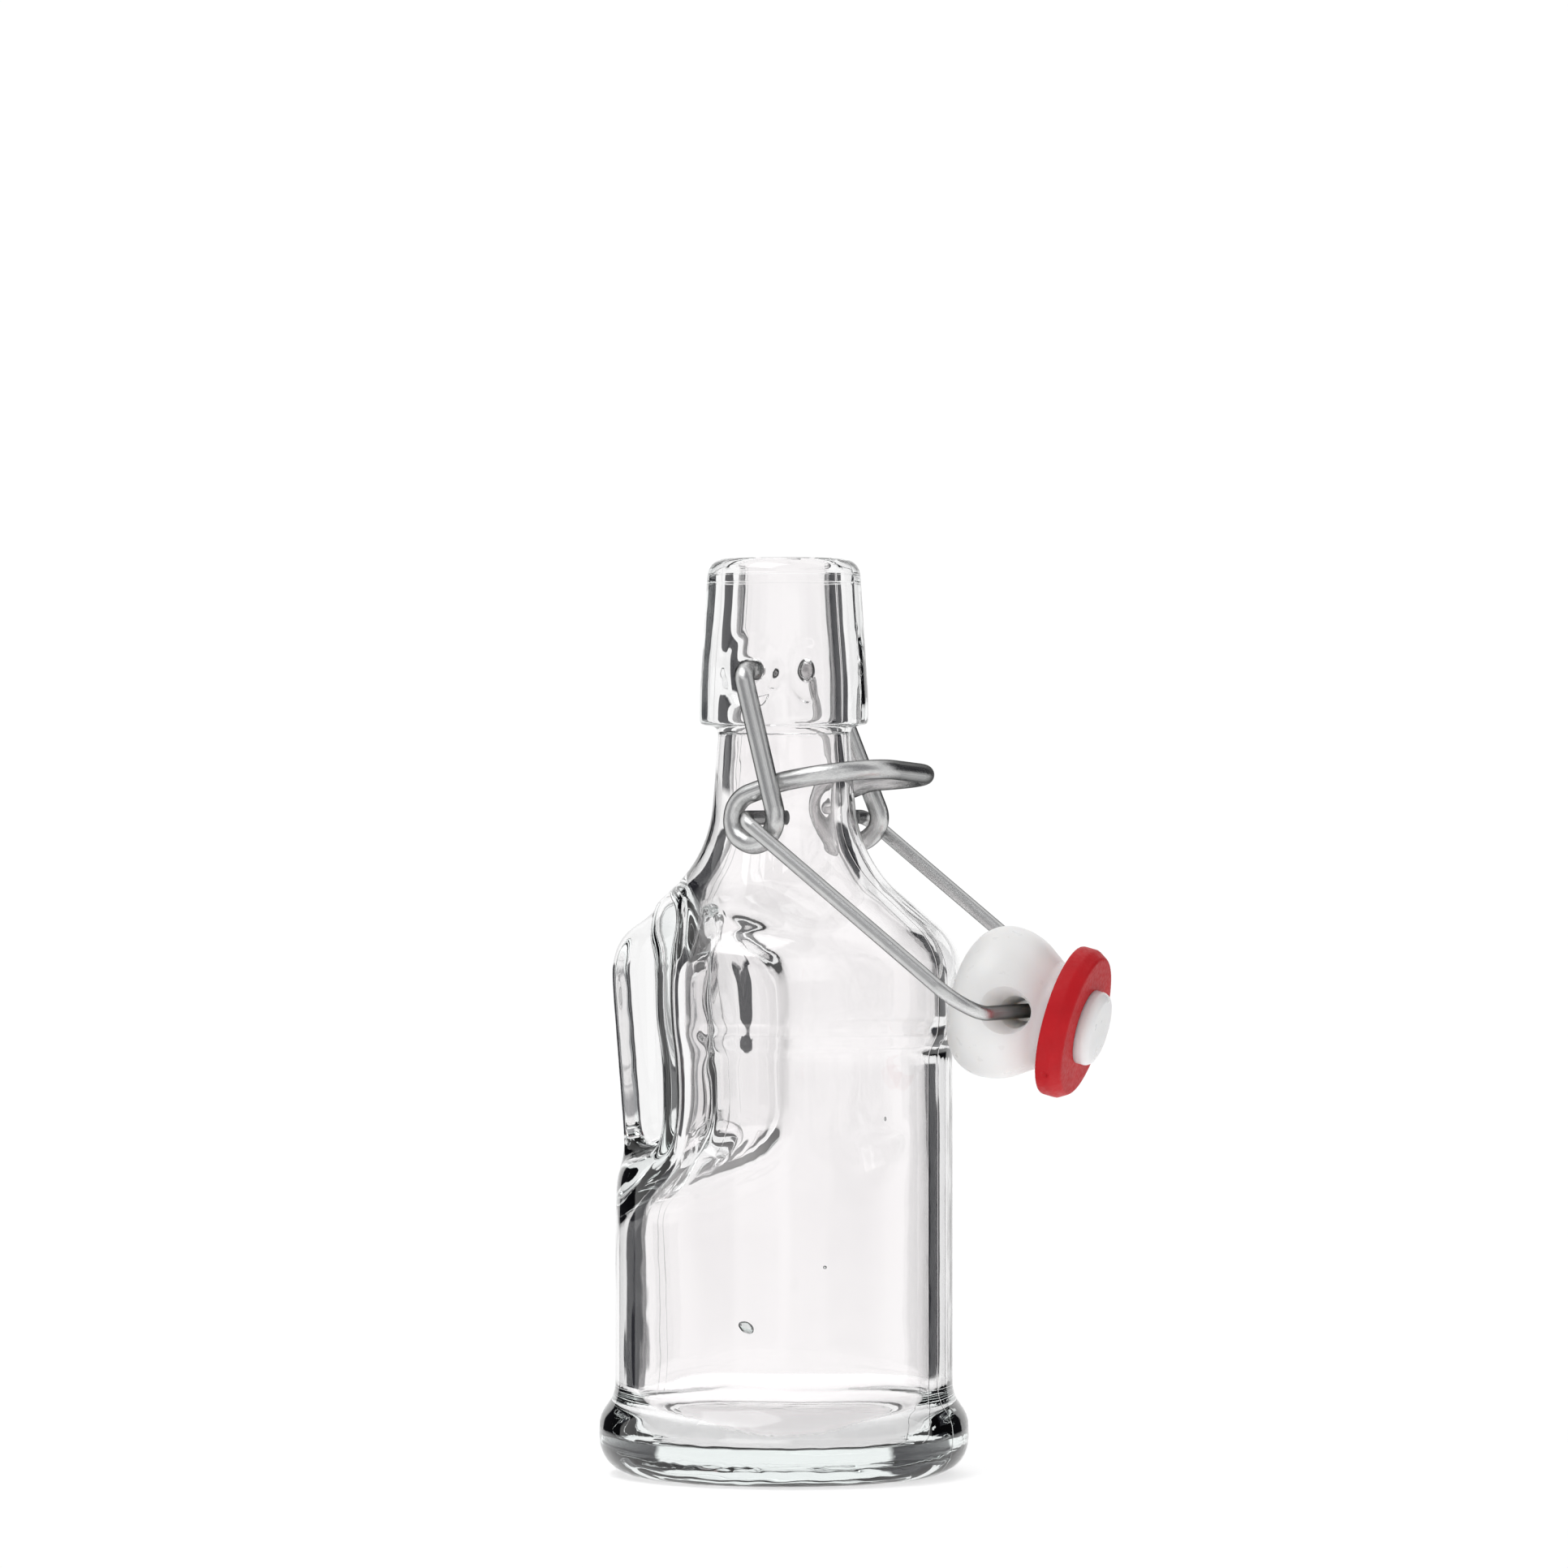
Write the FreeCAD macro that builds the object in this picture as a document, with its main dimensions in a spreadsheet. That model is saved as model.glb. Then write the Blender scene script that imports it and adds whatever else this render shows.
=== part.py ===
"""Swing top bottle: glass bottle with an ear handle, lever wire, stopper bail, stopper and gasket.

Frame: origin at the centre of the base on the resting plane, +Z up the bottle's axis, +X towards
the thumb loop and the hanging stopper, Y along the pivots of both wires.  Millimetres.
"""
import FreeCAD, Part
import math
import os

import Sketcher
from FreeCAD import Placement, Rotation, Vector

TINY = 1e-3
NEARBY = 0.5             # how far from a limit an edge still counts as lying within it
SWEEP_TOLERANCE = 0.02   # largest difference of a wire's volume from its length times its section
EYE_CORNERS = 4          # corners of the path round each eye of the lever wire
EYE_EXIT = 20            # rise of the wire where it leaves the eye, degrees
THREE_QUARTERS = 270     # degrees

# Driving dimensions: alias, value, meaning.
DIMENSIONS = [
    ("resting_plane", 0.0, "the table"),
    ("mouth_height", 160.0, "height of the rim above the resting plane"),
    ("bore_radius", 8.0, "straight bore of the mouth"),
    ("bore_foot", 128.0, "height where the straight bore begins"),
    ("rim_radius", 13.25, "outside of the finish at the rim"),
    ("rim_round", 3.0, "outer rounding of the rim"),
    ("lip_round", 1.2, "inner rounding of the rim"),
    ("lip_reach", 9.4, "radius of the cavity's cutter above the rim"),
    ("cutter_top", 161.0, "top of the cavity's cutter"),
    ("finish_radius", 14.8, "widest part of the finish"),
    ("finish_taper_foot", 135.5, "height where the finish starts to taper"),
    ("finish_taper_round", 100.0, "rounding where the taper starts"),
    ("finish_foot", 130.8, "underside of the finish"),
    ("finish_foot_round", 0.7, "rounding under the finish"),
    ("neck_radius", 11.4, "neck under the finish"),
    ("neck_round", 1.2, "fillet between neck and finish"),
    ("neck_foot", 107.7, "height of the neck's meeting with the shoulder slope"),
    ("neck_foot_radius", 13.2, "radius there"),
    ("neck_sweep", 22.0, "hollow curve from neck to shoulder"),
    ("shoulder_height", 92.2, "height of the shoulder slope's outer corner"),
    ("shoulder_radius", 31.4, "shoulder band"),
    ("shoulder_round", 12.0, "round of the shoulder"),
    ("band_foot", 77.4, "lower corner of the shoulder band"),
    ("band_step", 74.6, "top of the label panel"),
    ("band_round", 2.0, "rounding of the step under the band"),
    ("panel_radius", 29.5, "label panel"),
    ("base_shelf", 14.0, "foot of the label panel"),
    ("base_edge", 10.2, "upper corner of the base ring"),
    ("base_radius", 32.4, "base ring"),
    ("base_ring_round", 5.5, "rounding above the base ring"),
    ("base_round", 6.5, "rounding under the base ring"),
    ("bearing_radius", 24.5, "inner edge of the ring that rests on the table"),
    ("bearing_round", 1.5, "rounding of that edge"),
    ("punt_radius", 20.0, "flat of the hollow under the base"),
    ("punt_depth", 1.8, "depth of the hollow under the base"),
    ("punt_round", 5.0, "rounding of the hollow"),
    ("floor_height", 6.2, "inside floor above the resting plane"),
    ("inner_radius", 25.4, "inside radius of the label panel"),
    ("floor_round", 5.0, "inside rounding at the floor"),
    ("inner_step", 73.5, "inside height where the wall widens to the band"),
    ("inner_band_foot", 79.0, "inside height where the band is reached"),
    ("inner_band_radius", 27.4, "inside radius of the band"),
    ("inner_band_round", 8.0, "inside rounding at the band"),
    ("inner_shoulder", 90.8, "inside height of the shoulder's corner"),
    ("inner_shoulder_round", 9.5, "inside round of the shoulder"),
    ("inner_neck_foot", 106.2, "inside height of the neck's foot"),
    ("inner_neck_radius", 9.9, "inside radius at the neck's foot"),
    ("inner_neck_sweep", 22.0, "inside curve from neck to shoulder"),
    ("bore_round", 60.0, "curve that leads into the straight bore"),
    ("handle_half", 7.6, "half thickness of the ear handle"),
    ("ear_foot", 52.0, "foot of the handle, inside the glass under the recess"),
    ("ear_foot_reach", -28.6, "outer face of the handle at its foot"),
    ("ear_top_reach", -32.2, "outer face of the handle at its top corner"),
    ("ear_top", 94.0, "top corner of the handle"),
    ("ear_round", 10.0, "round of the handle's top corner"),
    ("ear_root", 99.8, "height where the handle runs into the shoulder"),
    ("ear_root_reach", -20.0, "distance of that point from the axis"),
    ("ear_inside", -9.0, "inner end of the handle, inside the glass"),
    ("recess_out", -45.0, "how far the recess cutter runs past the glass"),
    ("recess_floor_out", 53.4, "recess floor at that distance"),
    ("recess_floor_in", 57.6, "recess floor at its inner corner"),
    ("recess_wall_foot", -11.4, "recess wall at its foot"),
    ("recess_wall_top", -12.6, "recess wall at its top"),
    ("recess_top", 89.5, "height where the recess wall turns to the roof"),
    ("recess_roof_out", 118.0, "recess roof at the cutter's outer end"),
    ("recess_round", 4.0, "rounding in the recess corners"),
    ("recess_lip_round", 2.2, "rounding where the recess meets the outside"),
    ("ear_edge_round", 2.4, "rounding of the handle's edges"),
    ("cavity_wall_foot", -8.6, "inside of the recess wall at its foot"),
    ("cavity_wall_top", -9.8, "inside of the recess wall at its top"),
    ("cavity_floor_out", 35.0, "inside of the recess floor at the cutter's outer end"),
    ("cavity_floor_in", 57.0, "inside of the recess floor at its inner corner"),
    ("cavity_roof_in", 91.0, "inside of the recess roof at its inner corner"),
    ("cavity_roof_out", 122.0, "inside of the recess roof at the cutter's outer end"),
    ("cavity_recess_round", 5.0, "rounding of the cavity round the recess"),
    ("cavity_lip_round", 3.6, "rounding of the cavity beside the recess"),
    ("slot_left_foot", -19.4, "finger slot, handle side, foot"),
    ("slot_left_top", -20.6, "finger slot, handle side, top"),
    ("slot_right", -14.2, "finger slot, bottle side"),
    ("slot_foot", 59.0, "foot of the finger slot"),
    ("slot_shoulder", 71.0, "height where the slot starts to narrow"),
    ("slot_top", 91.0, "top of the finger slot"),
    ("slot_right_top", -19.6, "finger slot, bottle side, top"),
    ("slot_round", 2.4, "rounding at the foot of the slot"),
    ("slot_top_round", 0.45, "rounding at the top of the slot"),
    ("slot_side_round", 14.0, "curve where the slot narrows"),
    ("socket_height", 140.3, "height of the lever wire's sockets"),
    ("socket_radius", 2.0, "socket for the wire's pin"),
    ("socket_depth", 11.0, "distance of the socket's bottom from the axis"),
    ("dimple_radius", 5.6, "round dimple around the socket"),
    ("dimple_depth", 13.2, "distance of the dimple's floor from the axis"),
    ("dimple_round", 1.2, "rounding of the dimple's floor"),
    ("dimple_lip_radius", 6.4, "mouth of the dimple's cutter"),
    ("dimple_lip", 16.4, "outer end of the dimple's cutter"),
    ("socket_lip_round", 0.5, "rounding of the socket's mouth"),
    ("lever_wire_radius", 1.7, "lever wire"),
    ("lever_tip", 11.5, "distance of the lever pins' ends from the axis"),
    ("lever_bend_side", 16.8, "distance of the lever's top bend from the axis"),
    ("lever_bend_round", 2.6, "bend at the top of the lever arms"),
    ("arm_side", 21.6, "side distance of the arms at the eyes"),
    ("eye_reach", 4.0, "forward distance of the eyes' centre"),
    ("eye_height", 114.8, "height of the eyes' centre"),
    ("eye_radius", 4.5, "eye, to the wire's centre line"),
    ("eye_bend", 4.2, "bends of the eye"),
    ("thumb_side", 17.8, "side distance of the thumb loop's legs"),
    ("thumb_knee_reach", 8.0, "forward distance of the legs' knee"),
    ("thumb_knee_height", 121.0, "height of the legs' knee"),
    ("thumb_knee_round", 15.0, "bend of the legs' knee"),
    ("thumb_reach", 23.4, "forward distance of the thumb bar"),
    ("thumb_height", 122.8, "height of the thumb bar"),
    ("thumb_lean", 0.9, "rise of the bar's near end and fall of its far end"),
    ("thumb_round", 12.6, "bend at the ends of the thumb bar"),
    ("bail_wire_radius", 1.25, "bail wire"),
    ("hook_reach", 3.4, "length of the hooked ends of the bail"),
    ("hook_side", 14.4, "side distance of the hooked ends"),
    ("hook_round", 1.7, "bend of the hooked ends"),
    ("bail_side", 25.4, "side distance of the bail's arms"),
    ("bail_knee_round", 2.6, "bend between hook and arm"),
    ("cross_reach", 47.0, "forward distance of the bail's cross bar"),
    ("cross_height", 81.6, "height of the bail's cross bar"),
    ("cross_round", 7.5, "bend between arm and cross bar"),
    ("stopper_pitch", 15.0, "how far the stopper's button points below level, degrees"),
    ("stopper_yaw", 8.0, "how far the loose stopper has turned sideways, degrees"),
    ("crown", -13.2, "back of the stopper's dome, from the cross bar along the stopper's axis"),
    ("crown_edge", -12.5, "edge of the crown"),
    ("crown_edge_radius", 7.5, "radius of the crown's edge"),
    ("crown_round", 10.0, "rounding at the crown's edge"),
    ("dome_edge", -10.4, "lower corner of the dome"),
    ("stopper_radius", 13.3, "widest part of the stopper"),
    ("dome_round", 6.7, "rounding of the dome"),
    ("taper_edge", -2.2, "corner where the stopper starts to taper"),
    ("taper_round", 11.0, "rounding of the taper"),
    ("seat_edge", 3.6, "foot of the taper"),
    ("seat_radius", 9.4, "seat behind the gasket"),
    ("seat_round", 1.5, "rounding at the foot of the taper"),
    ("gasket_back", 5.9, "back face of the gasket"),
    ("gasket_rim", 8.6, "end of the gasket's straight rim"),
    ("gasket_face", 10.4, "front face of the gasket"),
    ("gasket_radius", 13.2, "outside of the gasket"),
    ("gasket_face_radius", 12.1, "outside of the gasket's face"),
    ("gasket_rim_round", 0.4, "rounding of the gasket's rim"),
    ("groove_radius", 5.0, "groove that holds the gasket"),
    ("button_radius", 6.5, "button"),
    ("button_end", 13.0, "end of the button"),
    ("button_round", 1.4, "rounding of the button"),
    ("waist_radius", 1.95, "narrowest part of the cross hole"),
    ("waist_near", -3.0, "near end of that part"),
    ("waist_far", 3.0, "far end of that part"),
    ("throat_radius", 2.8, "cross hole at the foot of its countersinks"),
    ("throat_near", -9.4, "near countersink's foot"),
    ("throat_far", 9.4, "far countersink's foot"),
    ("hole_axis", 0.0, "the cross hole's own axis"),
    ("flare_radius", 5.8, "mouths of the cross hole's cutter"),
    ("flare_near", -14.0, "near end of the cutter"),
    ("flare_far", 14.0, "far end of the cutter"),
]

doc = FreeCAD.newDocument("swing_top_bottle")
sheet = doc.addObject("Spreadsheet::Sheet", "dims")
for row, (alias, value, meaning) in enumerate(DIMENSIONS, start=1):
    sheet.set(f"A{row}", alias)
    sheet.set(f"B{row}", str(value))
    sheet.set(f"C{row}", meaning)
    sheet.setAlias(f"B{row}", alias)
doc.recompute()


def size(alias):
    """A driving dimension as a number."""
    return float(sheet.get(alias))


# ---------------------------------------------------------------- sketches

def origin_plane(body, role):
    """One of a body's own origin planes."""
    return next(item for item in body.Origin.OriginFeatures if item.Role == role)


def new_sketch(body, name, role="XZ_Plane"):
    """A sketch on an origin plane of its body."""
    sketch = body.newObject("Sketcher::SketchObject", name)
    sketch.AttachmentSupport = [(origin_plane(body, role), "")]
    sketch.MapMode = "FlatFace"
    return sketch


def unit(start, end):
    """Unit vector from one point to another."""
    return (end - start).normalize()


def bend(before, corner, after, radius):
    """Start, middle and end of the arc that rounds a corner."""
    back = unit(corner, before)
    ahead = unit(corner, after)
    half_turn = (math.pi - back.getAngle(ahead)) / 2
    reach = radius * math.tan(half_turn)
    inward = (back + ahead).normalize()
    middle = corner + inward * (radius / math.cos(half_turn) - radius)
    return corner + back * reach, middle, corner + ahead * reach


def flat_arc(start, middle, end):
    """The arc through three points as a sketch holds it, anticlockwise, and its two end numbers."""
    circle = Part.Circle(start, middle, end)
    centre = circle.Center
    angles = [math.atan2(point.y - centre.y, point.x - centre.x) for point in (start, end)]
    anticlockwise = (start - centre).cross(end - centre).z > 0
    first, last = (1, 2) if anticlockwise else (2, 1)
    if not anticlockwise:
        angles.reverse()
    if angles[1] < angles[0]:
        angles[1] += 2 * math.pi
    ring = Part.Circle(centre, Vector(0, 0, 1), circle.Radius)
    return Part.ArcOfCircle(ring, *angles), first, last


def draw_outline(sketch, corners):
    """Closed outline with rounded corners.

    Each corner is (across, up, round): aliases of dimensions, where None stands for the axis
    in across and for a sharp corner in round.
    """
    count = len(corners)
    places = [Vector(size(a) if a else 0, size(u), 0) for a, u, _ in corners]
    starts, ends, arcs = [], [], []
    for index, (_, _, rounding) in enumerate(corners):
        corner = places[index]
        if rounding:
            arc = bend(places[index - 1], corner, places[(index + 1) % count], size(rounding))
            starts.append(arc[2])
            ends.append(arc[0])
            arcs.append(arc)
        else:
            starts.append(corner)
            ends.append(corner)
            arcs.append(None)
    lines = [sketch.addGeometry(Part.LineSegment(starts[i], ends[(i + 1) % count]))
             for i in range(count)]
    rules, sizes = [], []

    def dimension(kind, *ends, alias):
        sizes.append((len(rules), alias))
        rules.append(Sketcher.Constraint(kind, *ends, size(alias)))

    for index, (across, up, rounding) in enumerate(corners):
        before, after = lines[index - 1], lines[index]
        if rounding:
            curve, first, last = flat_arc(*arcs[index])
            arc = sketch.addGeometry(curve)
            rules.append(Sketcher.Constraint("Tangent", before, 2, arc, first))
            rules.append(Sketcher.Constraint("Tangent", after, 1, arc, last))
            dimension("Radius", arc, alias=rounding)
            point = sketch.addGeometry(Part.Point(places[index]), True)
            rules.append(Sketcher.Constraint("PointOnObject", point, 1, before))
            rules.append(Sketcher.Constraint("PointOnObject", point, 1, after))
            spot = (point, 1)
        else:
            rules.append(Sketcher.Constraint("Coincident", before, 2, after, 1))
            spot = (after, 1)
        if across:
            dimension("DistanceX", -1, 1, *spot, alias=across)
        else:
            rules.append(Sketcher.Constraint("PointOnObject", *spot, -2))
        dimension("DistanceY", -1, 1, *spot, alias=up)
    sketch.addConstraint(rules)
    for number, alias in sizes:
        sketch.setExpression(f"Constraints[{number}]", f"dims.{alias}")


def turned(body, name, corners, cut=False, axis="V_Axis", role="XZ_Plane"):
    """Turn a closed outline round an axis of its sketch, as material or as a cut."""
    sketch = new_sketch(body, name + "_outline", role)
    draw_outline(sketch, corners)
    doc.recompute()
    feature = body.newObject("PartDesign::Groove" if cut else "PartDesign::Revolution", name)
    feature.Profile = sketch
    feature.ReferenceAxis = (sketch, [axis])
    feature.Angle = 360
    body.Tip = feature
    doc.recompute()
    return feature


# ---------------------------------------------------------------- bottle

OUTSIDE = [
    (None, "punt_depth", None),
    ("punt_radius", "punt_depth", "punt_round"),
    ("bearing_radius", "resting_plane", "bearing_round"),
    ("base_radius", "resting_plane", "base_round"),
    ("base_radius", "base_edge", "base_ring_round"),
    ("panel_radius", "base_shelf", "base_ring_round"),
    ("panel_radius", "band_step", "band_round"),
    ("shoulder_radius", "band_foot", "band_round"),
    ("shoulder_radius", "shoulder_height", "shoulder_round"),
    ("neck_foot_radius", "neck_foot", "neck_sweep"),
    ("neck_radius", "finish_foot", "neck_round"),
    ("finish_radius", "finish_foot", "finish_foot_round"),
    ("finish_radius", "finish_taper_foot", "finish_taper_round"),
    ("rim_radius", "mouth_height", "rim_round"),
    (None, "mouth_height", None),
]

CAVITY = [
    (None, "floor_height", None),
    ("inner_radius", "floor_height", "floor_round"),
    ("inner_radius", "inner_step", "inner_band_round"),
    ("inner_band_radius", "inner_band_foot", "inner_band_round"),
    ("inner_band_radius", "inner_shoulder", "inner_shoulder_round"),
    ("inner_neck_radius", "inner_neck_foot", "inner_neck_sweep"),
    ("bore_radius", "bore_foot", "bore_round"),
    ("bore_radius", "mouth_height", "lip_round"),
    ("lip_reach", "mouth_height", None),
    ("lip_reach", "cutter_top", None),
    (None, "cutter_top", None),
]

RECESS = [
    ("recess_out", "recess_floor_out", None),
    ("recess_wall_foot", "recess_floor_in", "recess_round"),
    ("recess_wall_top", "recess_top", "recess_round"),
    ("recess_out", "recess_roof_out", None),
]

CAVITY_RECESS = [
    ("recess_out", "cavity_floor_out", None),
    ("cavity_wall_foot", "cavity_floor_in", "cavity_recess_round"),
    ("cavity_wall_top", "cavity_roof_in", "cavity_recess_round"),
    ("recess_out", "cavity_roof_out", None),
]

EAR = [
    ("ear_inside", "ear_foot", None),
    ("ear_foot_reach", "ear_foot", None),
    ("ear_top_reach", "ear_top", "ear_round"),
    ("ear_root_reach", "ear_root", None),
    ("ear_inside", "ear_root", None),
]

SOCKET = [
    (None, "socket_depth", None),
    ("socket_radius", "socket_depth", None),
    ("socket_radius", "dimple_depth", "socket_lip_round"),
    ("dimple_radius", "dimple_depth", "dimple_round"),
    ("dimple_lip_radius", "dimple_lip", None),
    (None, "dimple_lip", None),
]

SLOT = [
    ("slot_left_foot", "slot_foot", "slot_round"),
    ("slot_right", "slot_foot", "slot_round"),
    ("slot_right", "slot_shoulder", "slot_side_round"),
    ("slot_right_top", "slot_top", "slot_top_round"),
    ("slot_left_top", "slot_top", "slot_top_round"),
]


def through(body, name, corners, kind, half=None):
    """A pad or pocket of an outline in the XZ plane, to the same distance on both sides."""
    sketch = new_sketch(body, name + "_outline")
    draw_outline(sketch, corners)
    doc.recompute()
    feature = body.newObject(kind, name)
    feature.Profile = sketch
    feature.Midplane = True
    if half:
        feature.setExpression("Length", f"2 * dims.{half}")
    else:
        feature.Type = "ThroughAll"
    body.Tip = feature
    doc.recompute()
    return feature


def rounded(body, name, edge_wanted, alias):
    """Round the edges of a body's last feature for which edge_wanted(edge, shape) holds."""
    base = body.Tip
    shape = base.Shape
    names = [f"Edge{number}" for number, edge in enumerate(shape.Edges, start=1)
             if edge_wanted(edge, shape)]
    fillet = body.newObject("PartDesign::Fillet", name)
    fillet.Base = (base, names)
    fillet.setExpression("Radius", f"dims.{alias}")
    body.Tip = fillet
    doc.recompute()
    return fillet


def cut_by_recess(face):
    """Whether a face runs straight along Y, as the recess walls do."""
    surface = face.Surface
    if surface.TypeId == "Part::GeomPlane":
        return abs(surface.Axis.y) < TINY < abs(surface.Axis.x)
    if surface.TypeId == "Part::GeomCylinder":
        return abs(surface.Axis.y) > 1 - TINY
    return False


def recess_lip(edge, shape):
    """Whether an edge lies between the recess and the turned surface."""
    faces = shape.ancestorsOfType(edge, Part.Face)
    return len(faces) == 2 and cut_by_recess(faces[0]) != cut_by_recess(faces[1])


def ear_edge(edge, shape):
    """Whether an edge runs along one side of the handle, in the slot or on the outer face."""
    centre = edge.CenterOfMass
    on_side = all(abs(abs(vertex.Y) - size("handle_half")) < TINY for vertex in edge.Vertexes)
    along = abs(centre.y) > size("handle_half") / 2
    outer = centre.x < size("ear_foot_reach") + NEARBY
    crown = size("slot_top") + NEARBY < centre.z < size("ear_root") - NEARBY
    in_slot = all(size("slot_left_top") - NEARBY < vertex.X < size("slot_right") + TINY
                  and size("slot_foot") - TINY < vertex.Z < size("slot_top") + TINY
                  for vertex in edge.Vertexes)
    return on_side and along and (outer or crown or in_slot)


def glass_outside():
    """The bottle's outside as a solid, with the hand recess."""
    body = doc.addObject("PartDesign::Body", "glass_outside")
    turned(body, "bottle_turn", OUTSIDE)
    through(body, "recess", RECESS, "PartDesign::Pocket")
    rounded(body, "recess_lips", recess_lip, "recess_lip_round")
    return body


def ear_handle():
    """The solid glass handle that bridges the recess, with its finger slot."""
    body = doc.addObject("PartDesign::Body", "ear_handle")
    through(body, "ear", EAR, "PartDesign::Pad", "handle_half")
    through(body, "slot", SLOT, "PartDesign::Pocket", "handle_half")
    rounded(body, "ear_edges", ear_edge, "ear_edge_round")
    return body


def glass_inside():
    """The bottle's cavity as a solid, cut back behind the recess."""
    body = doc.addObject("PartDesign::Body", "glass_inside")
    turned(body, "cavity_turn", CAVITY)
    through(body, "cavity_recess", CAVITY_RECESS, "PartDesign::Pocket")
    rounded(body, "cavity_lips", recess_lip, "cavity_lip_round")
    return body


def wire_socket(side):
    """Cutter for one blind socket of the lever wire; side is -1 or 1 along Y."""
    body = doc.addObject("PartDesign::Body", "socket_near" if side < 0 else "socket_far")
    turned(body, body.Name + "_turn", SOCKET)
    body.Placement = Placement(Vector(0, 0, size("socket_height")),
                               Rotation(Vector(0, 0, 1), Vector(0, side, 0)))
    return body


def make_bottle():
    """The glass bottle."""
    solid = doc.addObject("Part::Fuse", "glass_solid")
    solid.Base = glass_outside()
    solid.Tool = ear_handle()
    hollows = doc.addObject("Part::MultiFuse", "glass_hollows")
    hollows.Shapes = [glass_inside(), wire_socket(-1), wire_socket(1)]
    bottle = doc.addObject("Part::Cut", "bottle_cut")
    bottle.Base = solid
    bottle.Tool = hollows
    bottle.Label = "bottle"
    return bottle


# ---------------------------------------------------------------- wires

def wire_path(points):
    """Straight runs joined by arcs through a list of (point, bend radius or None)."""
    edges = []
    last = points[0][0]
    for index in range(1, len(points) - 1):
        corner, radius = points[index]
        start, middle, end = bend(points[index - 1][0], corner, points[index + 1][0], radius)
        edges.append(Part.LineSegment(last, start).toShape())
        edges.append(Part.Arc(start, middle, end).toShape())
        last = end
    edges.append(Part.LineSegment(last, points[-1][0]).toShape())
    return Part.Wire(edges)


def swept_wire(label, points, radius_alias):
    """A round wire along a path."""
    path = doc.addObject("Part::Feature", label + "_path")
    path.Shape = wire_path(points)
    ring = doc.addObject("Part::Circle", label + "_ring")
    ring.setExpression("Radius", f"dims.{radius_alias}")
    ring.Placement = Placement(points[0][0],
                               Rotation(Vector(0, 0, 1), unit(points[0][0], points[1][0])))
    sweep = doc.addObject("Part::Sweep", label + "_sweep")
    sweep.Sections = [ring]
    sweep.Spine = (path, [])
    sweep.Solid = True
    sweep.Transition = "Round corner"
    sweep.Label = label
    doc.recompute()
    filled = sweep.Shape.Volume / (math.pi * size(radius_alias) ** 2 * path.Shape.Length)
    if abs(filled - 1) > SWEEP_TOLERANCE:
        raise RuntimeError(f"{label}: the sweep fills {filled:.3f} of its path")
    return sweep


def mirrored(points):
    """A half path and its mirror image across the XZ plane, end to end."""
    other = [(Vector(point.x, -point.y, point.z), radius) for point, radius in reversed(points)]
    return points + other


def make_lever_wire():
    """Pins, arms, eyes and thumb loop, bent from one wire."""
    pivot_height = size("socket_height")
    eye = Vector(size("eye_reach"), 0, size("eye_height"))
    radius = size("eye_radius")
    drop = Vector(0, 0, pivot_height) - eye
    lean = math.degrees(math.atan2(eye.x, drop.z) + math.asin(radius / drop.Length))
    corner_step = (THREE_QUARTERS - EYE_EXIT + lean) / EYE_CORNERS
    corner_radius = radius / math.cos(math.radians(corner_step / 2))
    shift = size("arm_side") - size("thumb_side")
    half = [
        (Vector(0, -size("lever_tip"), pivot_height), None),
        (Vector(0, -size("lever_bend_side"), pivot_height), size("lever_bend_round")),
    ]
    for number in range(EYE_CORNERS):
        angle = math.radians(lean - corner_step * (number + 0.5))
        side = size("arm_side") - shift * number / EYE_CORNERS
        place = eye + Vector(math.cos(angle), 0, math.sin(angle)) * corner_radius
        half.append((Vector(place.x, -side, place.z), size("eye_bend")))
    half.append((Vector(size("thumb_knee_reach"), -size("thumb_side"), size("thumb_knee_height")),
                 size("thumb_knee_round")))
    half.append((Vector(size("thumb_reach"), -size("thumb_side"), size("thumb_height")),
                 size("thumb_round")))
    path = mirrored(half)
    near_end, far_end = len(half) - 1, len(half)
    for index, rise in ((near_end, 1), (far_end, -1)):
        place, radius = path[index]
        path[index] = (place + Vector(0, 0, rise * size("thumb_lean")), radius)
    return swept_wire("lever_wire", path, "lever_wire_radius")


def make_bail_wire():
    """Hooks, arms and cross bar, bent from one wire."""
    reach, height = size("eye_reach"), size("eye_height")
    half = [
        (Vector(reach + size("hook_reach"), -size("hook_side"), height), None),
        (Vector(reach, -size("hook_side"), height), size("hook_round")),
        (Vector(reach, -size("bail_side"), height), size("bail_knee_round")),
        (Vector(size("cross_reach"), -size("bail_side"), size("cross_height")),
         size("cross_round")),
    ]
    return swept_wire("bail_wire", mirrored(half), "bail_wire_radius")


# ---------------------------------------------------------------- stopper

STOPPER = [
    (None, "crown", None),
    ("crown_edge_radius", "crown_edge", "crown_round"),
    ("stopper_radius", "dome_edge", "dome_round"),
    ("stopper_radius", "taper_edge", "taper_round"),
    ("seat_radius", "seat_edge", "seat_round"),
    ("seat_radius", "gasket_back", None),
    ("groove_radius", "gasket_back", None),
    ("groove_radius", "gasket_face", None),
    ("button_radius", "gasket_face", None),
    ("button_radius", "button_end", "button_round"),
    (None, "button_end", None),
]

CROSS_HOLE = [
    ("flare_far", "hole_axis", None),
    ("flare_far", "flare_radius", None),
    ("throat_far", "throat_radius", None),
    ("waist_far", "waist_radius", None),
    ("waist_near", "waist_radius", None),
    ("throat_near", "throat_radius", None),
    ("flare_near", "flare_radius", None),
    ("flare_near", "hole_axis", None),
]

GASKET = [
    ("groove_radius", "gasket_back", None),
    ("gasket_radius", "gasket_back", "gasket_rim_round"),
    ("gasket_radius", "gasket_rim", "gasket_rim_round"),
    ("gasket_face_radius", "gasket_face", "gasket_rim_round"),
    ("groove_radius", "gasket_face", None),
]


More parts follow.
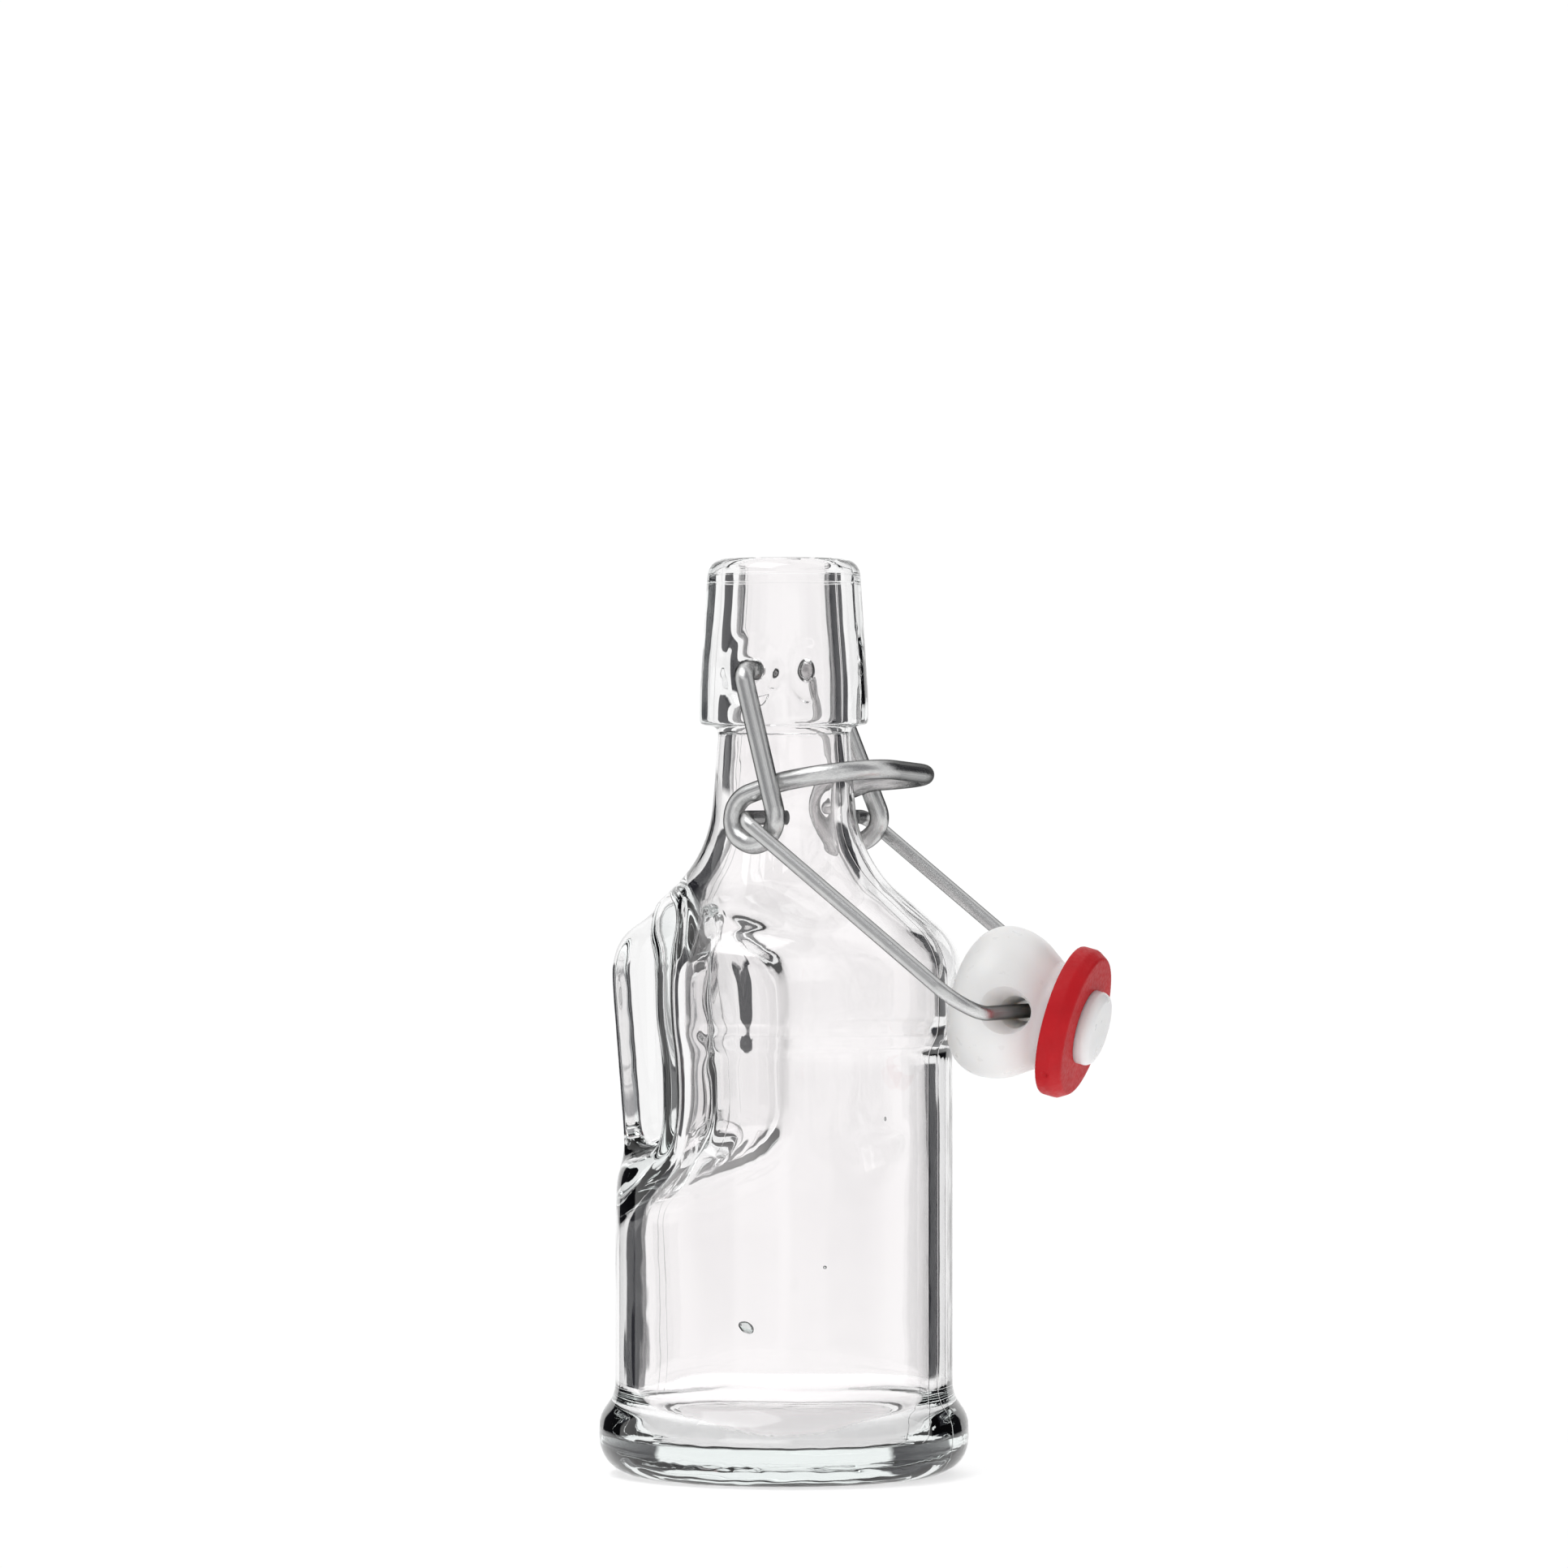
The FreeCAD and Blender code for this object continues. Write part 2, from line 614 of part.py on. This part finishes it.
def stopper_place():
    """Where the stopper hangs: on the cross bar, button forward, down a little and turned."""
    pitch = Rotation(Vector(0, 1, 0), 90 + size("stopper_pitch"))
    yaw = Rotation(Vector(0, 0, 1), size("stopper_yaw"))
    return Placement(Vector(size("cross_reach"), 0, size("cross_height")), yaw.multiply(pitch))


def make_stopper():
    """The plastic plug with its button and cross hole."""
    body = doc.addObject("PartDesign::Body", "stopper_body")
    turned(body, "stopper_turn", STOPPER)
    turned(body, "cross_hole", CROSS_HOLE, cut=True, axis="H_Axis", role="YZ_Plane")
    body.Placement = stopper_place()
    body.Label = "stopper"
    return body


def make_gasket():
    """The rubber washer round the button."""
    body = doc.addObject("PartDesign::Body", "gasket_body")
    turned(body, "gasket_turn", GASKET)
    body.Placement = stopper_place()
    body.Label = "gasket"
    return body


# ---------------------------------------------------------------- build, check and write

pieces = [make_bottle(), make_lever_wire(), make_bail_wire(), make_stopper(), make_gasket()]
doc.recompute()

faults = [item.Name for item in doc.Objects if "Invalid" in item.State or "Error" in item.State]
if faults:
    raise RuntimeError("failed objects: " + ", ".join(faults))
for piece in pieces:
    if piece.Shape.isNull() or not piece.Shape.isValid() or len(piece.Shape.Solids) != 1:
        raise RuntimeError(f"{piece.Label}: not one valid solid")

os.makedirs("parts", exist_ok=True)
for piece in pieces:
    piece.Shape.exportStep(os.path.join("parts", piece.Label + ".step"))
    print(piece.Label, f"{piece.Shape.Volume:.0f} mm3")
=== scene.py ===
import math

import bmesh
import bpy
import numpy as np
from mathutils import Matrix, Vector, noise


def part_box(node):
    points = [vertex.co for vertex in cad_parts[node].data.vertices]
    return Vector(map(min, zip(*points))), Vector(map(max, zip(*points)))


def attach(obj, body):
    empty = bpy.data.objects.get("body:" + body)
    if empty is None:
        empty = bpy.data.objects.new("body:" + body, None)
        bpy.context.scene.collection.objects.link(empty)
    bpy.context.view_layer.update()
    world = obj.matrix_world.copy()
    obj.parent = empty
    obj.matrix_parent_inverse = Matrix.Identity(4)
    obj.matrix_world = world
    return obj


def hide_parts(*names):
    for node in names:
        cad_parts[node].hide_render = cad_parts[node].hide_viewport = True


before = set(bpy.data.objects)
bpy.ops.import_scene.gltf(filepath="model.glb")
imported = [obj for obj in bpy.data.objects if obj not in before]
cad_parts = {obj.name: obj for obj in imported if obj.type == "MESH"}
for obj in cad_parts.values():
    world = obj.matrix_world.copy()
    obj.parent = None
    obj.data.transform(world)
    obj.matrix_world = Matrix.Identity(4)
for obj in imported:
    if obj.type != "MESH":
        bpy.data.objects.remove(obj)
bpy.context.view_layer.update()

MM = 0.001

# Camera: level, far off, with a long lens.
CAMERA_AZIMUTH = math.radians(25.6)
CAMERA_DISTANCE = 1.300
CAMERA_HEIGHT = 0.1206
CAMERA_LENS = 170.6
CAMERA_SENSOR = 36.0

# Visual meshes: size of their cells, and rounds of smoothing.
BOTTLE_CELL = 0.5 * MM
BOTTLE_ROUNDS = 7
RECESS_ROUNDS = 200
INNER_SIDE_ROUNDS = 200
DIMPLE_ROUNDS = 8
GASKET_CELL = 0.22 * MM
GASKET_ROUNDS = 4
WELD_DISTANCE = 0.002 * MM

# Regions of the bottle in millimetres: each pair is where a weight is 0 and where it is 1.
RECESS_SIDE = (0.0, -6.0)
RECESS_FOOT = (40.0, 48.0)
RECESS_HEAD = (112.0, 104.0)
EAR_FLANK = (8.5, 11.0)
EAR_BACK = (-22.0, -25.0)
SLOT_WALL = (-17.0, -14.0)
INNER_SIDE_FOOT = (60.0, 66.0)
DIMPLE_HOLE = (2.6, 3.6)
DIMPLE_RIM = (9.0, 7.0)
DIMPLE_FACE = (11.2, 11.8)
BORE_WALL = (10.6, 10.2)
BORE_FOOT = (108.0, 125.0)
BORE_HEAD = (158.0, 136.0)
WALL_FOOT = (12.0, 20.0)
WALL_HEAD = (128.0, 115.0)
FLOOR_EDGE = (26.0, 22.0)
FLOOR_TOP = (12.0, 9.0)
PIVOT_HEIGHT = 140.3

# Share of the recess smoothing that the ear's ridge, its back and the slot's wall take.
RIDGE_SHARE = 0.12
BACK_SHARE = 0.5
SLOT_SHARE = 0.6

BORE_FLARE = 0.13
WALL_WAVE = 0.28
WALL_WAVE_SCALE = (60.0, 60.0, 22.0)
FLOOR_WAVE = 0.08
FLOOR_WAVE_SCALE = 300.0

# The pit that the mould's gate left in the gasket's rim: its direction, depth and width.
GATE_DIRECTION = np.array((-0.076, -0.742, -0.667))
GATE_DEPTH = 0.4 * MM
GATE_WIDTH = (0.75 * MM, 0.15 * MM)

# Seeds: degrees round from the bottle's front, height and radii in millimetres, and tilt.
SEEDS = ((13.2, 27.5, (1.45, 0.5, 0.95), 25.0),
         (-14.4, 37.8, (0.32, 0.25, 0.30), 0.0),
         (-38.0, 63.0, (0.22, 0.2, 0.4), 0.0))
SEED_FRONT = math.radians(25.6 - 90.0)
SEED_REACH = 0.845
SEED_SWELL = 0.18

# Parting lines of the mould: heights of the two rings, and where a line fades in.
SEAM_HEIGHTS = (0.1572, 0.1556)
SEAM_EDGE = (0.00022, 0.00008)

# Table top: radius, where it starts to fade out, and sides of its outline.
TABLE_RADIUS = 0.16
TABLE_SOLID = 0.11
TABLE_SIDES = 96

# Top light: degrees, metres and watts.
TOP_AZIMUTH = -20
TOP_ELEVATION = 62
TOP_DISTANCE = 1.2
TOP_SIZE = 0.8
TOP_POWER = 5.0
TOP_AIM = Vector((0.0, 0.0, 0.08))

# Studio: bearings in degrees from straight ahead, and heights as the Z of a direction. Each
# pair is where a part of it starts and where it is complete.
RIGHT_GAP = (31.8, 74.0)
LEFT_GAP = (25.0, 55.5)
GAP_SOFT = 2.0
GAP_FOOT = (-0.15, -0.11)
GAP_HEAD = (0.75, 0.60)
SIDE_EDGE = (-0.02, 0.02)
ROOM_FRONT = (-0.1, -0.35)
ROOM_FOOT = (-0.12, -0.02)
PANEL_BEARING = 164.0
PANEL_EDGE = (22.0, 18.0)
PANEL_HEAD = (0.45, 0.35)
WINDOW_BEARING = -170.0
WINDOW_EDGE = (26.0, 20.0)
WINDOW_FOOT = (0.04, 0.10)
WINDOW_HEAD = (0.7, 0.6)
WHITE_LIGHT = (1.02, 1.02, 1.02, 1.0)
ROOM_LIGHT = (0.33, 0.33, 0.34, 1.0)
GAP_LIGHT = (0.025, 0.025, 0.03, 1.0)


class Nodes:
    """A material or world being wired up. Any value may also be another node's socket."""

    def __init__(self, owner):
        owner.use_nodes = True
        self.tree = owner.node_tree
        self.tree.nodes.clear()

    def feed(self, socket, value):
        if isinstance(value, bpy.types.NodeSocket):
            self.tree.links.new(value, socket)
        else:
            socket.default_value = value

    def add(self, kind, operation=None, **inputs):
        """Adds a node, its inputs given by name with _ for each space."""
        node = self.tree.nodes.new(kind)
        if operation is not None:
            node.operation = operation
        for name, value in inputs.items():
            self.feed(node.inputs[name.replace("_", " ")], value)
        return node

    def object_place(self):
        return self.add("ShaderNodeTexCoord").outputs["Object"]

    def noise(self, place, scale, detail=4.0):
        node = self.add("ShaderNodeTexNoise", Scale=scale, Detail=detail, Roughness=0.5,
                        Vector=place)
        return node.outputs["Fac"]

    def ramp(self, value, low, high, to_low=0.0, to_high=1.0):
        node = self.add("ShaderNodeMapRange", Value=value, From_Min=low, From_Max=high,
                        To_Min=to_low, To_Max=to_high)
        return node.outputs["Result"]

    def mix(self, factor, first, second):
        node = self.tree.nodes.new("ShaderNodeMix")
        node.data_type = "RGBA"
        self.feed(node.inputs[0], factor)
        self.feed(node.inputs[6], first)
        self.feed(node.inputs[7], second)
        return node.outputs[2]

    def math(self, operation, first, second=0.0):
        node = self.add("ShaderNodeMath", operation)
        self.feed(node.inputs[0], first)
        self.feed(node.inputs[1], second)
        return node.outputs[0]

    def times(self, first, second):
        return self.math("MULTIPLY", first, second)

    def vector_math(self, operation, first, second=None, result="Vector"):
        node = self.add("ShaderNodeVectorMath", operation)
        self.feed(node.inputs[0], first)
        if second is not None:
            self.feed(node.inputs[1], second)
        return node.outputs[result]

    def bump(self, height, strength, distance, under=None):
        node = self.add("ShaderNodeBump", Strength=strength, Distance=distance, Height=height)
        if under is not None:
            self.feed(node.inputs["Normal"], under)
        return node.outputs["Normal"]

    def surface(self, **inputs):
        shader = self.add("ShaderNodeBsdfPrincipled", **inputs)
        output = self.add("ShaderNodeOutputMaterial", Surface=shader.outputs[0])
        return shader, output


def new_material(name):
    material = bpy.data.materials.new(name)
    return material, Nodes(material)


def seams(n, place):
    """The mould's parting lines: two rings round the finish, and one up each side."""
    axes = n.add("ShaderNodeSeparateXYZ", Vector=place).outputs
    lines = None
    for axis, at in (("Z", SEAM_HEIGHTS[0]), ("Z", SEAM_HEIGHTS[1]), ("Y", 0.0)):
        away = n.math("ABSOLUTE", n.math("SUBTRACT", axes[axis], at))
        line = n.ramp(away, *SEAM_EDGE)
        lines = line if lines is None else n.math("MAXIMUM", lines, line)
    return lines


def glass_material():
    """Clear flint glass, faintly wavy, slightly green where it is thick."""
    material, n = new_material("flint_glass")
    place = n.object_place()
    smooth = n.ramp(n.noise(place, 90.0), 0.35, 0.7, 0.0, 0.03)
    normal = n.bump(n.noise(place, 55.0, 2.0), 0.10, 0.0012)
    normal = n.bump(n.noise(place, 260.0, 2.0), 0.02, 0.0003, normal)
    normal = n.bump(seams(n, place), 0.35, 0.00012, normal)
    tint = n.mix(n.noise(place, 30.0), (0.966, 0.944, 0.949, 1.0), (0.985, 0.970, 0.973, 1.0))
    _, output = n.surface(Base_Color=tint, Roughness=smooth, Normal=normal,
                          IOR=1.52, Transmission_Weight=1.0)
    volume = n.add("ShaderNodeVolumeAbsorption", Color=(0.70, 0.83, 0.80, 1.0), Density=9.0)
    n.feed(output.inputs["Volume"], volume.outputs[0])
    return material


def steel_material():
    """Zinc-grey drawn wire, streaked and a little patchy."""
    material, n = new_material("drawn_steel")
    place = n.add("ShaderNodeTexCoord").outputs
    drawn = n.noise(place["Normal"], 22.0, 5.0)
    patches = n.noise(place["Object"], 260.0)
    grain = n.noise(place["Object"], 1600.0, 2.0)
    streak = n.math("ADD", drawn, n.times(patches, 0.5))
    colour = n.mix(n.ramp(streak, 0.5, 1.0), (0.50, 0.505, 0.51, 1.0), (0.72, 0.72, 0.71, 1.0))
    rough = n.ramp(streak, 0.5, 1.0, 0.30, 0.18)
    normal = n.bump(drawn, 0.25, 0.00012)
    normal = n.bump(grain, 0.08, 0.00003, normal)
    n.surface(Base_Color=colour, Roughness=rough, Normal=normal, Metallic=1.0,
              Specular_Tint=(0.04, 0.04, 0.04, 1.0))
    return material


def plastic_material():
    """Milky white moulded plastic that light sinks into, with a few small pits whose insides are
    given a painted shade.
    """
    material, n = new_material("white_plastic")
    place = n.object_place()
    mottle = n.noise(place, 120.0, 3.0)
    grain = n.noise(place, 900.0, 3.0)
    cells = n.add("ShaderNodeTexVoronoi", Scale=260.0, Vector=place)
    pits_and_shade = n.ramp(cells.outputs["Distance"], 0.02, 0.07)
    colour = n.mix(mottle, (0.80, 0.795, 0.785, 1.0), (0.86, 0.86, 0.855, 1.0))
    # Painted shade: the colour is darker inside the pits, standing in for the shade that falls
    # in them.
    colour = n.mix(pits_and_shade, (0.74, 0.73, 0.71, 1.0), colour)
    rough = n.ramp(n.noise(place, 400.0), 0.3, 0.7, 0.26, 0.40)
    normal = n.bump(grain, 0.05, 0.00005)
    normal = n.bump(pits_and_shade, 0.25, 0.0001, normal)
    n.surface(Base_Color=colour, Roughness=rough, Normal=normal, Subsurface_Weight=0.85,
              Subsurface_Radius=(1.0, 0.93, 0.85), Subsurface_Scale=0.006)
    return material


def rubber_material():
    """Matt red rubber with a fine grain."""
    material, n = new_material("red_rubber")
    place = n.object_place()
    mottle = n.noise(place, 260.0)
    grain = n.noise(place, 1500.0, 3.0)
    colour = n.mix(mottle, (0.42, 0.004, 0.009, 1.0), (0.58, 0.008, 0.014, 1.0))
    rough = n.ramp(grain, 0.3, 0.7, 0.42, 0.62)
    n.surface(Base_Color=colour, Roughness=rough, Normal=n.bump(grain, 0.2, 0.0001),
              Specular_IOR_Level=0.22)
    return material


def ease(values, start, end):
    """0 before start, 1 after end, and smooth between them; start may be the larger."""
    t = np.clip((values - start) / (end - start), 0.0, 1.0)
    return t * t * (3.0 - 2.0 * t)


def relax(points, edges, weight, rounds):
    """Pulls each vertex towards its neighbours' mean, by its weight, round after round."""
    count = len(points)
    first, second = edges[:, 0], edges[:, 1]
    degree = np.bincount(first, minlength=count) + np.bincount(second, minlength=count)
    degree = np.maximum(degree, 1)[:, None]
    for _ in range(rounds):
        total = np.empty_like(points)
        for axis in range(3):
            total[:, axis] = (np.bincount(first, points[second, axis], count)
                              + np.bincount(second, points[first, axis], count))
        points = points + (total / degree - points) * (0.5 * weight)[:, None]
    return points


def link(item):
    bpy.context.scene.collection.objects.link(item)
    return item


def read_vertices(mesh, attribute):
    """The vertices' positions ("co") or normals ("normal"), one row each."""
    flat = np.empty(len(mesh.vertices) * 3, np.float32)
    mesh.vertices.foreach_get(attribute, flat)
    return flat.reshape(-1, 3).astype(float)


def move_vertices(mesh, points):
    mesh.vertices.foreach_set("co", points.astype(np.float32).ravel())
    mesh.update()


def smooth_in(mesh, material):
    """Gives a mesh its one material, and smooth shading."""
    mesh.materials.clear()
    mesh.materials.append(material)
    mesh.polygons.foreach_set("use_smooth", [True] * len(mesh.polygons))
    mesh.update()


def remeshed(node, name, cell):
    """An evenly meshed copy of a CAD node, with its vertices and edges as arrays."""
    start = link(bpy.data.objects.new(name + "_start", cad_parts[node].data.copy()))
    start.modifiers.new("weld", "WELD").merge_threshold = WELD_DISTANCE
    remesh = start.modifiers.new("remesh", "REMESH")
    remesh.mode = "VOXEL"
    remesh.voxel_size = cell
    remesh.use_smooth_shade = True
    bpy.context.view_layer.update()
    evaluated = start.evaluated_get(bpy.context.evaluated_depsgraph_get())
    mesh = bpy.data.meshes.new_from_object(evaluated)
    bpy.data.objects.remove(start)
    mesh.name = name
    edges = np.empty(len(mesh.edges) * 2, np.int32)
    mesh.edges.foreach_get("vertices", edges)
    return mesh, read_vertices(mesh, "co"), edges.reshape(-1, 2)


def stand_in(mesh, points, node, body, material):
    """Shows the reworked mesh in place of its CAD node."""
    move_vertices(mesh, points)
    smooth_in(mesh, material)
    piece = link(bpy.data.objects.new(mesh.name, mesh))
    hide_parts(node)
    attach(piece, body)


def moulded_gasket(material):
    """The washer with its moulded edges and the pit that its gate left in the rim."""
    mesh, points, edges = remeshed("gasket", "gasket_rubber", GASKET_CELL)
    points = relax(points, edges, np.ones(len(points)), GASKET_ROUNDS)
    middle = points.mean(axis=0)
    gate = points[np.argmax((points - middle) @ GATE_DIRECTION)]
    distance = np.linalg.norm(points - gate, axis=1)
    inward = (middle - gate) / np.linalg.norm(middle - gate)
    points = points + inward * (GATE_DEPTH * ease(distance, *GATE_WIDTH))[:, None]
    stand_in(mesh, points, "gasket", "stopper", material)


def recess_weight(x, y, z):
    """How much of the recess smoothing each vertex takes."""
    share = RIDGE_SHARE + (1.0 - RIDGE_SHARE) * ease(np.abs(y), *EAR_FLANK)
    share = np.maximum(share, BACK_SHARE * ease(x, *EAR_BACK))
    share = np.maximum(share, SLOT_SHARE * ease(x, *SLOT_WALL))
    return ease(x, *RECESS_SIDE) * ease(z, *RECESS_FOOT) * ease(z, *RECESS_HEAD) * share


def unevenness(points, normals):
    """How far the inner wall and the inner floor wave at each vertex, in millimetres."""
    x, y, z = points.T / MM
    reach = np.maximum(np.hypot(x, y), 0.001)
    on_wall = ease(-(normals[:, 0] * x + normals[:, 1] * y) / reach, 0.2, 0.8)
    on_wall *= ease(z, *WALL_FOOT) * ease(z, *WALL_HEAD)
    on_floor = ease(normals[:, 2], 0.5, 0.9) * ease(reach, *FLOOR_EDGE) * ease(z, *FLOOR_TOP)
    lift = np.zeros(len(points))
    for index in np.nonzero((on_wall > 0.01) | (on_floor > 0.01))[0]:
        spot = Vector(points[index])
        wall = noise.noise(spot * Vector(WALL_WAVE_SCALE))
        floor = noise.noise(spot * FLOOR_WAVE_SCALE)
        lift[index] = on_wall[index] * wall * WALL_WAVE + on_floor[index] * floor * FLOOR_WAVE
    return lift


def softened_bottle(material):
    """The CAD bottle with the fire-polished edges and uneven inside of pressed glass."""
    mesh, points, edges = remeshed("bottle", "bottle_glass", BOTTLE_CELL)
    points = relax(points, edges, np.ones(len(points)), BOTTLE_ROUNDS)
    x, y, z = points.T / MM

    near_recess = recess_weight(x, y, z)
    points = relax(points, edges, near_recess, RECESS_ROUNDS)
    move_vertices(mesh, points)
    facing = read_vertices(mesh, "normal")[:, 0]
    inner_side = near_recess * ease(facing, -0.1, 0.2) * ease(z, *INNER_SIDE_FOOT)
    points = relax(points, edges, inner_side, INNER_SIDE_ROUNDS)

    from_pivot = np.hypot(x, z - PIVOT_HEIGHT)
    dimple = (ease(from_pivot, *DIMPLE_HOLE) * ease(from_pivot, *DIMPLE_RIM)
              * ease(np.abs(y), *DIMPLE_FACE))
    points = relax(points, edges, dimple, DIMPLE_ROUNDS)

    x, y, z = points.T / MM
    bore = ease(np.hypot(x, y), *BORE_WALL) * ease(z, *BORE_FOOT) * ease(z, *BORE_HEAD)
    points[:, :2] *= (1.0 + BORE_FLARE * bore)[:, None]
    move_vertices(mesh, points)
    normals = read_vertices(mesh, "normal")
    points = points + normals * (unevenness(points, normals) * MM)[:, None]
    stand_in(mesh, points, "bottle", "bottle", material)


def add_seeds(material):
    """Air bubbles caught in the near wall: closed blisters whose faces look into the air."""
    low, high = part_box("bottle")
    wall = SEED_REACH * min(-low.y, high.y)
    shape = bmesh.new()
    for around, height, radii, tilt in SEEDS:
        made = bmesh.ops.create_icosphere(shape, subdivisions=3, radius=MM)
        bearing = SEED_FRONT - math.radians(around)
        spin = (Matrix.Rotation(bearing + math.pi / 2, 4, "Z")
                @ Matrix.Rotation(math.radians(tilt), 4, "Y"))
        spot = Vector((wall * math.cos(bearing), wall * math.sin(bearing), height * MM))
        for vertex in made["verts"]:
            point = vertex.co * Vector(radii)
            swell = 1.0 + SEED_SWELL * noise.noise(point * 900.0)
            vertex.co = spot + spin @ (point * swell)
    bmesh.ops.reverse_faces(shape, faces=shape.faces)
    mesh = bpy.data.meshes.new("bottle_seeds")
    shape.to_mesh(mesh)
    shape.free()
    smooth_in(mesh, material)
    seeds = link(bpy.data.objects.new("bottle_seeds", mesh))
    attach(seeds, "bottle")


def dress(node, material):
    """Gives a CAD node its one material."""
    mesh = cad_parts[node].data
    mesh.materials.clear()
    mesh.materials.append(material)


def add_camera():
    data = bpy.data.cameras.new("camera")
    data.lens = CAMERA_LENS
    data.sensor_width = CAMERA_SENSOR
    data.clip_start = 0.01
    camera = link(bpy.data.objects.new("camera", data))
    camera.location = (CAMERA_DISTANCE * math.sin(CAMERA_AZIMUTH),
                       -CAMERA_DISTANCE * math.cos(CAMERA_AZIMUTH), CAMERA_HEIGHT)
    camera.rotation_euler = (math.pi / 2, 0.0, CAMERA_AZIMUTH)
    bpy.context.scene.camera = camera
    bpy.context.scene.view_settings.view_transform = "Standard"


def add_table():
    """A small white table top, faded out at its edge into the white surroundings."""
    turns = (2 * math.pi * i / TABLE_SIDES for i in range(TABLE_SIDES))
    rim = [(TABLE_RADIUS * math.cos(turn), TABLE_RADIUS * math.sin(turn), 0.0) for turn in turns]
    mesh = bpy.data.meshes.new("floor")
    mesh.from_pydata(rim, [], [list(range(TABLE_SIDES))])
    floor = link(bpy.data.objects.new("floor", mesh))
    material, n = new_material("floor_white")
    shader, output = n.surface(Base_Color=(0.9, 0.9, 0.9, 1.0), Roughness=0.8,
                               Emission_Color=(1.0, 1.0, 1.0, 1.0), Emission_Strength=0.45)
    reach = n.vector_math("LENGTH", n.object_place(), result="Value")
    blend = n.add("ShaderNodeMixShader")
    n.feed(blend.inputs[0], n.ramp(reach, TABLE_SOLID, TABLE_RADIUS))
    n.feed(blend.inputs[1], shader.outputs[0])
    n.feed(blend.inputs[2], n.add("ShaderNodeBsdfTransparent").outputs[0])
    n.feed(output.inputs["Surface"], blend.outputs[0])
    mesh.materials.append(material)


def add_top_light():
    """A broad soft light high above the table, turned towards the bottle."""
    data = bpy.data.lights.new("top_box", "AREA")
    data.shape = "RECTANGLE"
    data.size = TOP_SIZE
    data.size_y = TOP_SIZE
    data.energy = TOP_POWER
    lamp = link(bpy.data.objects.new("top_box", data))
    azimuth, elevation = math.radians(TOP_AZIMUTH), math.radians(TOP_ELEVATION)
    back = Vector((math.sin(azimuth) * math.cos(elevation),
                   -math.cos(azimuth) * math.cos(elevation), math.sin(elevation)))
    lamp.location = back * TOP_DISTANCE + TOP_AIM
    lamp.rotation_mode = "QUATERNION"
    lamp.rotation_quaternion = back.to_track_quat("Z", "Y")


def add_studio():
    """White all round, with a dark gap each side of the backdrop, a dimmer room opposite it,
    and two bright places in that room: a panel and a window."""
    world = bpy.data.worlds.new("studio")
    bpy.context.scene.world = world
    n = Nodes(world)
    outward = n.add("ShaderNodeTexCoord").outputs["Generated"]
    height = n.add("ShaderNodeSeparateXYZ", Vector=outward).outputs["Z"]
    level = n.vector_math("MULTIPLY", outward, (1.0, 1.0, 0.0))
    heading = n.vector_math("NORMALIZE", level)

    def cosine(degrees):
        return math.cos(math.radians(degrees))

    def toward(bearing):
        """The cosine of the angle to a bearing, which is positive to the left."""
        turn = CAMERA_AZIMUTH + math.radians(bearing)
        direction = (-math.sin(turn), math.cos(turn), 0.0)
        return n.vector_math("DOT_PRODUCT", heading, direction, "Value")

    ahead = toward(0.0)
    on_right = n.ramp(toward(-90.0), *SIDE_EDGE)

    def gap(inner, outer, side):
        """1 between two angles from straight ahead, on one side."""
        rise = n.ramp(ahead, cosine(inner), cosine(inner + GAP_SOFT))
        fall = n.ramp(ahead, cosine(outer + GAP_SOFT), cosine(outer))
        return n.times(n.times(rise, fall), side)

    def patch(bearing, edge, head):
        """1 within an angle of a bearing, up to a height."""
        return n.times(n.ramp(toward(bearing), cosine(edge[0]), cosine(edge[1])),
                       n.ramp(height, *head))

    gaps = n.math("ADD", gap(*RIGHT_GAP, on_right),
                  gap(*LEFT_GAP, n.math("SUBTRACT", 1.0, on_right)))
    dark = n.times(gaps, n.times(n.ramp(height, *GAP_FOOT), n.ramp(height, *GAP_HEAD)))
    panel = patch(PANEL_BEARING, PANEL_EDGE, PANEL_HEAD)
    window = n.times(patch(WINDOW_BEARING, WINDOW_EDGE, WINDOW_HEAD),
                     n.ramp(height, *WINDOW_FOOT))
    room = n.times(n.ramp(ahead, *ROOM_FRONT), n.ramp(height, *ROOM_FOOT))
    room = n.times(room, n.math("SUBTRACT", 1.0, n.math("MAXIMUM", panel, window)))
    light = n.mix(dark, n.mix(room, WHITE_LIGHT, ROOM_LIGHT), GAP_LIGHT)
    background = n.add("ShaderNodeBackground", Color=light)
    n.add("ShaderNodeOutputWorld", Surface=background.outputs[0])


add_camera()
glass = glass_material()
softened_bottle(glass)
dress("bottle", glass)
add_seeds(glass)
steel = steel_material()
dress("lever_wire", steel)
dress("bail_wire", steel)
dress("stopper", plastic_material())
rubber = rubber_material()
moulded_gasket(rubber)
dress("gasket", rubber)
add_table()
add_top_light()
add_studio()
